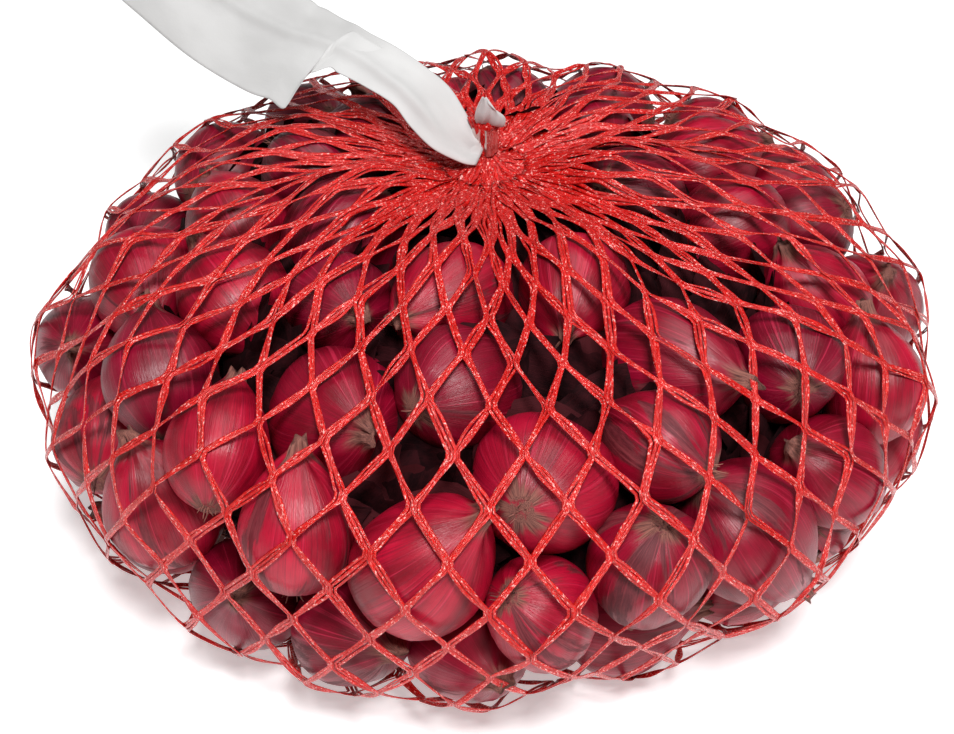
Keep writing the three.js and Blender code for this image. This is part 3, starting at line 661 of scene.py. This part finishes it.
def drape(pile):
    """Pulls the netting taut over the shallots. Nothing passes into a shallot or the floor."""
    spots = first_crossings().reshape(-1, 3)
    a, b = link_ends()
    moves = np.ones((len(spots), 1))
    moves[:CELLS] = moves[-CELLS:] = 0
    samples = (0.0, 0.25, 0.5, 0.75)
    near = None
    for step in range(DRAPE["steps"]):
        between = spots[b] - spots[a]
        long = np.linalg.norm(between, axis=1, keepdims=True)
        taut = DRAPE["end_taut"] if step > 0.8 * DRAPE["steps"] else DRAPE["taut"]
        pull = (DRAPE["firm"] * np.maximum(long - CELL_SIDE, 0) + taut * long) / long * between
        shift = np.zeros_like(spots)
        np.add.at(shift, a, pull * 0.5)
        np.add.at(shift, b, -pull * 0.5)
        spots = spots + shift * moves
        points = np.vstack([spots[a] + t * (spots[b] - spots[a]) for t in samples])
        if step % DRAPE["look_every"] == 0:
            near = pile.near(points)
        push = pile.push(points, near, DRAPE["clear"])
        shift, weight = np.zeros_like(spots), np.full((len(spots), 1), 1e-9)
        for i, t in enumerate(samples):
            part = push[i * len(a):(i + 1) * len(a)]
            hit = (np.linalg.norm(part, axis=1, keepdims=True) > 0).astype(float)
            share = t * t + (1 - t) ** 2
            np.add.at(shift, a, part * (1 - t) / share)
            np.add.at(shift, b, part * t / share)
            np.add.at(weight, a, hit * (1 - t))
            np.add.at(weight, b, hit * t)
        spots = spots + shift / np.maximum(weight, 1) * moves
        spots[:, 2] = np.maximum(spots[:, 2], DRAPE["floor"])
    return spots.reshape(ROWS + 1, CELLS, 3)


def crossing_normals(crossings):
    """The way out of the bag at each crossing."""
    round_ = np.roll(crossings, -1, 1) - np.roll(crossings, 1, 1)
    down = np.zeros_like(crossings)
    down[1:-1] = crossings[2:] - crossings[:-2]
    down[0], down[-1] = crossings[1] - crossings[0], crossings[-1] - crossings[-2]
    return unit(np.cross(down, round_))


# ---------------------------------------------------------------- netting: strands

JOINT = 1.0 * MM  # half the length over which two strands run side by side
LINK_STEPS = 6
SECTORS = 6  # pieces that the netting is made in, each with its share of the strands


def strand_paths(crossings, pile):
    """Centre lines of all strands, which zigzag down and meet on each side in turn, and their ways out."""
    normals = crossing_normals(crossings)
    rows, wales = ROWS + 1, 2 * CELLS
    wale = np.arange(wales)
    # Even rows: strand 2k and 2k-1 meet at crossing k. Odd rows: 2k and 2k+1 meet at crossing k.
    at = np.where((np.arange(rows) % 2 == 0)[:, None], ((wale + 1) // 2) % CELLS, wale // 2)
    row_index = np.arange(rows)[:, None]
    centre, out = crossings[row_index, at], normals[row_index, at]
    down = np.gradient(centre, axis=0)
    down = unit(down - (down * out).sum(-1, keepdims=True) * out)
    right = np.cross(out, down)
    heading = np.where((wale + row_index) % 2 == 0, 1.0, -1.0)[..., None]
    mate = np.roll(crossings, -1, 1)[row_index, at] - crossings[row_index, at]
    side = np.sign((right * mate).sum(-1, keepdims=True)) * heading
    room = np.linalg.norm(mate, axis=-1, keepdims=True)
    apart = right * side * np.minimum(0.55 * MM, room * 0.16)
    above = centre - down * JOINT + apart
    below = centre + down * JOINT + apart
    t = np.linspace(0, 1, LINK_STEPS + 2)[1:-1, None, None, None]
    inner = below[None, :-1] * (1 - t) + above[None, 1:] * t
    inner_out = unit(out[None, :-1] * (1 - t) + out[None, 1:] * t)
    count = (rows - 1) * (LINK_STEPS + 2) + 2
    path, ways = np.zeros((count, wales, 3)), np.zeros((count, wales, 3))
    stride = LINK_STEPS + 2
    path[0::stride], path[1::stride] = above, below
    ways[0::stride], ways[1::stride] = out, out
    for i in range(LINK_STEPS):
        path[2 + i::stride][: rows - 1] = inner[i]
        ways[2 + i::stride][: rows - 1] = inner_out[i]
    for step in range(12):  # the links bend round the shallots that they touch
        flat = path.reshape(-1, 3)
        if step % 6 == 0:
            near = pile.near(flat, 5)
        flat += pile.push(flat, near, 0.75 * MM)
        bend = 0.5 * (path[2:] + path[:-2]) - path[1:-1]
        path[1:-1] += 0.4 * (bend * ways[1:-1]).sum(-1, keepdims=True) * ways[1:-1]
        path[..., 2] = np.maximum(path[..., 2], 0.5 * MM)
    path = path.reshape(-1, 3)
    path += pile.push(path, pile.near(path, 5), 0.6 * MM)
    return path.reshape(count, wales, 3).transpose(1, 0, 2), ways.transpose(1, 0, 2)


def wander(rng, shape, step, low, high):
    """Values that drift smoothly along the last axis, with a new one every few places."""
    knots = rng.uniform(low, high, (shape[0], shape[1] // step + 3))
    x = np.arange(shape[1]) / step
    k = x.astype(int)
    t = smooth(x - k)
    return knots[:, k] * (1 - t) + knots[:, k + 1] * t


def add_filaments(name, path, ways, thickness, rng, filaments=3, spread=0.66 * MM, width=0.46 * MM):
    """Each strand as a few thin flat filaments side by side, which part here and there."""
    sides = 6
    strands, count = path.shape[:2]
    along = unit(np.gradient(path, axis=1))
    side = unit(np.cross(along, ways))
    out = np.cross(side, along)
    roll = wander(rng, (strands, count), 5, -0.55, 0.55)[..., None]
    side, out = side * np.cos(roll) + out * np.sin(roll), out * np.cos(roll) - side * np.sin(roll)
    gap = wander(rng, (strands, count), 4, 0.35, 1.0) ** 2 * 1.25 + 0.35
    # The tape is pulled out flatter and wider where it is bunched towards the gather.
    broad = 1 + 1.1 * np.exp(-(np.linalg.norm(path - GATHER, axis=-1) / (34 * MM)) ** 2)
    points, marks = [], []
    far = np.cumsum(np.r_[0, np.linalg.norm(np.diff(path, axis=1), axis=-1).mean(0)])
    for f in range(filaments):
        place = (f - (filaments - 1) / 2) * spread * broad
        drift = wander(rng, (strands, count), 5, -0.22, 0.22) * MM
        depth = wander(rng, (strands, count), 6, -0.12, 0.12) * MM
        centre = path + side * (place * gap + drift)[..., None] + out * depth[..., None]
        own = wander(rng, (strands, count), 4, -0.5, 0.5)[..., None]
        flat_way = side * np.cos(own) + out * np.sin(own)
        thin_way = out * np.cos(own) - side * np.sin(own)
        wide = (width * broad * wander(rng, (strands, count), 6, 0.8, 1.2))[..., None]
        turn = np.linspace(0, 2 * np.pi, sides, endpoint=False) + 0.3
        ring = [centre + flat_way * wide * np.cos(t) + thin_way * thickness * np.sin(t) for t in turn]
        points.append(np.stack(ring, 2))
        mark = np.zeros((strands, count, sides, 3))
        mark[..., 0] = far[None, :, None]
        mark[..., 1] = (np.arange(strands) * 3.1 + f * 1.7)[:, None, None]
        mark[..., 2] = turn
        marks.append(mark)
    points, marks = np.concatenate(points), np.concatenate(marks)
    tubes = len(points)
    first_points = (np.arange(tubes) * count * sides)[:, None, None]
    quads = (grid_polygons(count, sides, True)[None] + first_points).reshape(-1, 4)
    ends = np.stack([np.arange(sides)[::-1], np.arange(sides) + (count - 1) * sides])
    caps = (ends[None] + first_points).reshape(-1, sides)
    piece = add_mesh(name, points.reshape(-1, 3), [quads, caps], {"strand": marks.reshape(-1, 3)})
    piece.data.materials.append(MATERIALS["netting"])
    return piece


# The bunched netting: its radius in the clip, how far its tuft stands over the clip and leans to the back,
# how deep its pleats are, and how many steps each strand has in all and below the clip.
THROAT = {
    "radius": 1.55 * MM,
    "tuft": 3.5 * MM,
    "lean": 3.2 * MM,
    "pleat": 0.7 * MM,
    "steps": 26,
    "steps_below": 16,
}


def gather_paths(path):
    """The strands from the ring up to the throat, through the clip, and out as a frayed tuft."""
    strands = len(path)
    ring = path[:, 0]
    start = ring - GATHER
    heading = np.arctan2(start[:, 1], start[:, 0])
    radius = np.linalg.norm(start[:, :2], axis=1)
    bundle = RNG.uniform(0, 1, strands) ** 0.5 * THROAT["radius"]
    tuft = CLIP["height"] + THROAT["tuft"]
    steps, throat = THROAT["steps"], THROAT["steps_below"]
    found = np.zeros((strands, steps, 3))
    pleat = RNG.uniform(-1, 1, strands) * THROAT["pleat"]
    for i in range(steps):
        if i < throat:
            u = i / throat
            r = bundle + (radius - bundle) * (1 - u) ** 1.2
            z = ring[:, 2] + (GATHER[2] - ring[:, 2]) * u**1.5 + pleat * np.sin(np.pi * u)
            back = 0.0
        else:
            u = (i - throat) / (steps - 1 - throat)
            r = bundle * (1 + 2.2 * smooth((u - 0.55) / 0.45))
            z = GATHER[2] + tuft * u + pleat * u * 2
            back = THROAT["lean"] * smooth((u - 0.6) / 0.4)
        x, y = GATHER[0] + r * np.cos(heading), GATHER[1] + back + r * np.sin(heading)
        found[:, i] = np.stack([x, y, z], -1)
    outward = unit(np.stack([np.cos(heading), np.sin(heading), np.full(strands, 1.2)], -1))
    ways_up = np.repeat(outward[:, None], steps, 1)
    ways_up[:, throat:, 2] = 0.05
    return found, unit(ways_up)


def base_paths(path):
    """The strands from the ring underneath in to the middle of the flat lower gather."""
    strands = len(path)
    ring = path[:, -1]
    steps = 12
    end = np.array((8 * MM, 0, 1.4 * MM))
    jitter = RNG.uniform(-1, 1, (strands, 3)) * np.array((2.2, 1.6, 0.7)) * MM
    t = np.linspace(0, 1, steps)[None, :, None]
    found = ring[:, None] * (1 - t) + (end + jitter)[:, None] * t
    ripple = 0.5 * MM * np.sin(t[..., 0] * 9 + np.arange(strands)[:, None])
    found[..., 2] = np.maximum(found[..., 2] + ripple, 0.4 * MM)
    return found, np.tile((0.0, 0.0, -1.0), (strands, steps, 1))


def tail_paths():
    """The netting's cut end, which runs flat through the bottom clip and spreads a little past it."""
    strands, steps = 22, 14
    across = np.linspace(-1, 1, strands)[:, None]
    t = np.linspace(0, 1, steps)[None]
    x = (TAIL["from"] + (TAIL["to"] - TAIL["from"]) * t) * (1 - 0.04 * np.cos(9 * across) * (t > 0.9))
    spread = TAIL["held"] + (TAIL["wide"] - TAIL["held"]) * smooth((t - 0.55) / 0.45)
    z = TAIL["rise"] + 0.35 * MM * np.sin(23 * across + 3 * t)
    found = np.stack([x, across * spread, z + 0 * x], -1)
    return found, np.tile((0.0, 0.0, -1.0), (strands, steps, 1))


def add_netting(bulbs):
    pile = Pile(bulbs)
    crossings = drape(pile)
    path, ways = strand_paths(crossings, pile)
    for part in range(SECTORS):
        own = slice(part * 2 * CELLS // SECTORS, (part + 1) * 2 * CELLS // SECTORS)
        net = add_filaments(f"netting_mesh_{part + 1}", path[own], ways[own], 0.17 * MM, RNG)
        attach(net, "bag")
        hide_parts("netting")
    throat, throat_ways = gather_paths(path)
    bunched = {"width": 0.34 * MM, "spread": 0.4 * MM}
    neck = add_filaments("netting_gather", throat, throat_ways, 0.16 * MM, RNG, **bunched)
    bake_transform(neck)
    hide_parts("netting_neck")
    base, base_ways = base_paths(path)
    flat = {"filaments": 2, "width": 0.3 * MM, "spread": 0.5 * MM}
    foot = add_filaments("netting_base_gather", base, base_ways, 0.16 * MM, RNG, **flat)
    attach(foot, "bag")
    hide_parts("netting_base")
    tail, tail_ways = tail_paths()
    cut = {"filaments": 2, "width": 0.26 * MM, "spread": 0.42 * MM}
    tuft = add_filaments("netting_base_tuft", tail, tail_ways, 0.14 * MM, RNG, **cut)
    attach(tuft, "bag")
    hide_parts("netting_base_tail")


# ---------------------------------------------------------------- label strip

FILM = {"width": 34 * MM, "thickness": 0.14 * MM}
# The strip's line, from the clip to the cut end above the bag's back, as x, y and z in millimetres, how far
# the film reaches to each side of it as a share of its width, lower edge first, and how far it is folded.
LABEL_ROUTE = np.array([
    (-1.5, 15.6, 98.9, 0.06, 0.16, 1),
    (-5, 15.9, 101.2, 0.12, 0.2, 1),
    (-10, 17.9, 106, 0.2, 0.23, 1),
    (-16, 21, 111.5, 0.21, 0.28, 1),
    (-22, 24, 116, 0.17, 0.27, 1),
    (-30, 28.5, 119.5, 0.18, 0.28, 1),
    (-37, 33, 121.5, 0.19, 0.28, 1),
    (-41.5, 36, 122, 0.2, 0.31, 1),
    (-46.5, 39.4, 122, 0.6, 0.35, 0),
    (-53, 43.5, 121.6, 0.57, 0.42, 0),
    (-60, 48, 121, 0.54, 0.48, 0),
    (-78, 62, 121, 0.45, 0.6, 0),
    (-97, 79, 124, 0.38, 0.66, 0),
    (-112, 93, 128, 0.36, 0.66, 0),
])
LABEL_ACROSS = np.array((0.56, 0.68, 0.47))  # the way across the strip, before it is squared to the line
LABEL_STATIONS, LABEL_COLUMNS = 170, 44
FOLD_AT = -0.1  # across the film, from -0.5 to 0.5, where it is folded in two beside the clip
FOLD_DROP = 1.2 * MM  # how far the film's lower half lies under the upper one
# The strip's short end, from the clip up, in millimetres: height over the clip's foot, left edge, right
# edge, and how far it stands to the front.
FLAP_ROWS = np.array([
    (1, -1, 1.8, -2),
    (8, -1.4, 2.2, -1.6),
    (10, -2.2, 3.8, 1.4),
    (13, -2.6, 5.6, 3),
    (16, -2, 5.6, 3.2),
    (19, -0.6, 1.6, 3),
])
FLAP_STATIONS, FLAP_COLUMNS = 30, 20


def flat_places(along, across):
    """Where each point of a film would lie if it were flat."""
    return np.stack(np.broadcast_arrays(along, across, 0.0), -1).reshape(-1, 3)


def add_label():
    stations, columns = LABEL_STATIONS, LABEL_COLUMNS
    route = curve_through(LABEL_ROUTE * (MM, MM, MM, 1, 1, 1), stations)
    line, shares = route[:, :3], route[:, 3:, None]
    low, high, folded = shares[:, 0], shares[:, 1], np.clip(shares[:, 2], 0, 1)
    u = np.linspace(0, 1, stations)[:, None]
    v = np.linspace(-0.5, 0.5, columns)[None]
    ahead = unit(np.gradient(line, axis=0))
    across = unit(LABEL_ACROSS - (ahead @ LABEL_ACROSS)[:, None] * ahead)
    out = np.cross(across, ahead)
    flat = -low + (v + 0.5) * (low + high)
    under = np.clip((FOLD_AT - v) / (0.5 + FOLD_AT), 0, 1)
    upper = np.clip((v - FOLD_AT) / (0.5 - FOLD_AT), 0, 1)
    doubled = -low + np.where(v < FOLD_AT, 0.85 * under, upper) * (low + high)
    place = flat + (doubled - flat) * folded
    near_clip = np.exp(-((u / 0.1) ** 2))
    rise = -FOLD_DROP * smooth(under * 5) * folded * smooth(u / 0.06)
    rise = rise + 0.7 * MM * near_clip * np.cos(2 * np.pi * 2.4 * v + 0.6) * smooth(u / 0.02)
    rise = rise + 1.5 * MM * np.sin(9 * u + 2.2 * v) * smooth(u * 2) - 9 * MM * place**2 * (1 - folded)
    rise = rise + 1.4 * MM * np.exp(-(((place - 0.02 - 0.35 * (u - 0.3)) / 0.06) ** 2)) * smooth(u * 6)
    reach = place * FILM["width"]
    points = line[:, None] + across[:, None] * reach[..., None] + out[:, None] * rise[..., None]
    length = float(np.linalg.norm(np.diff(line, axis=0), axis=1).sum())
    film = flat_places(u * length, v * FILM["width"])
    quads = grid_polygons(stations, columns, False)
    piece = add_mesh("label_film_strip", points.reshape(-1, 3), [quads], {"film": film})
    piece.data.materials.append(MATERIALS["film"])
    thicken(piece, FILM["thickness"])
    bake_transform(piece)
    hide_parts("label_strip")


def thicken(piece, thickness):
    """Gives a sheet its thickness for good."""
    solid = piece.modifiers.new("thickness", "SOLIDIFY")
    solid.thickness, solid.offset = thickness, 0
    graph = bpy.context.evaluated_depsgraph_get()
    made = bpy.data.meshes.new_from_object(piece.evaluated_get(graph))
    piece.modifiers.clear()
    piece.data = made


def add_label_end():
    """The strip's cut end, which comes up out of the clip and folds over in front of the netting's tuft."""
    across = np.array((1.0, 0, 0))
    front = np.array((0, -1.0, 0))
    foot = np.array((GATHER[0], GATHER[1], CLIP["foot"]))
    rows = curve_through(FLAP_ROWS * MM, FLAP_STATIONS)
    v = np.linspace(0, 1, FLAP_COLUMNS)[None]
    height, left, right, forward = (rows[:, k, None] for k in range(4))
    fan = smooth((height / MM - CLIP["height"] / MM) / 5)
    fold = (0.35 + 0.75 * fan) * MM * np.abs(((v * 2.3 + 0.25) % 1) * 2 - 1)
    sag = fan * smooth((v - 0.5) / 0.5) * 3 * MM
    wide = left + (right - left) * v
    points = foot + wide[..., None] * across + (forward + fold)[..., None] * front
    points = points + (height - sag)[..., None] * np.array((0, 0, 1))
    film = flat_places(height, v * 0.03)
    quads = grid_polygons(FLAP_STATIONS, FLAP_COLUMNS, False)
    piece = add_mesh("label_film_end", points.reshape(-1, 3), [quads], {"film": film})
    piece.data.materials.append(MATERIALS["film"])
    thicken(piece, FILM["thickness"])
    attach(piece, "neck")
    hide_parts("label_end")


# ---------------------------------------------------------------- carried-over CAD nodes

def dress_clips():
    for name in ("top_clip", "bottom_clip"):
        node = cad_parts[name]
        node.data.materials.clear()
        node.data.materials.append(MATERIALS["clip"])


# ---------------------------------------------------------------- the object

add_camera()
add_surroundings()
all_bulbs = []
for node_name, cad_node in sorted(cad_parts.items()):
    if "shallot" in node_name:
        all_bulbs += add_shallots(cad_node, node_name.replace("shallot", "bulb"))
# Dark sheets inside the bag paint the shade between the shallots.
add_shade_skins()
add_netting(all_bulbs)
add_label()
add_label_end()
dress_clips()
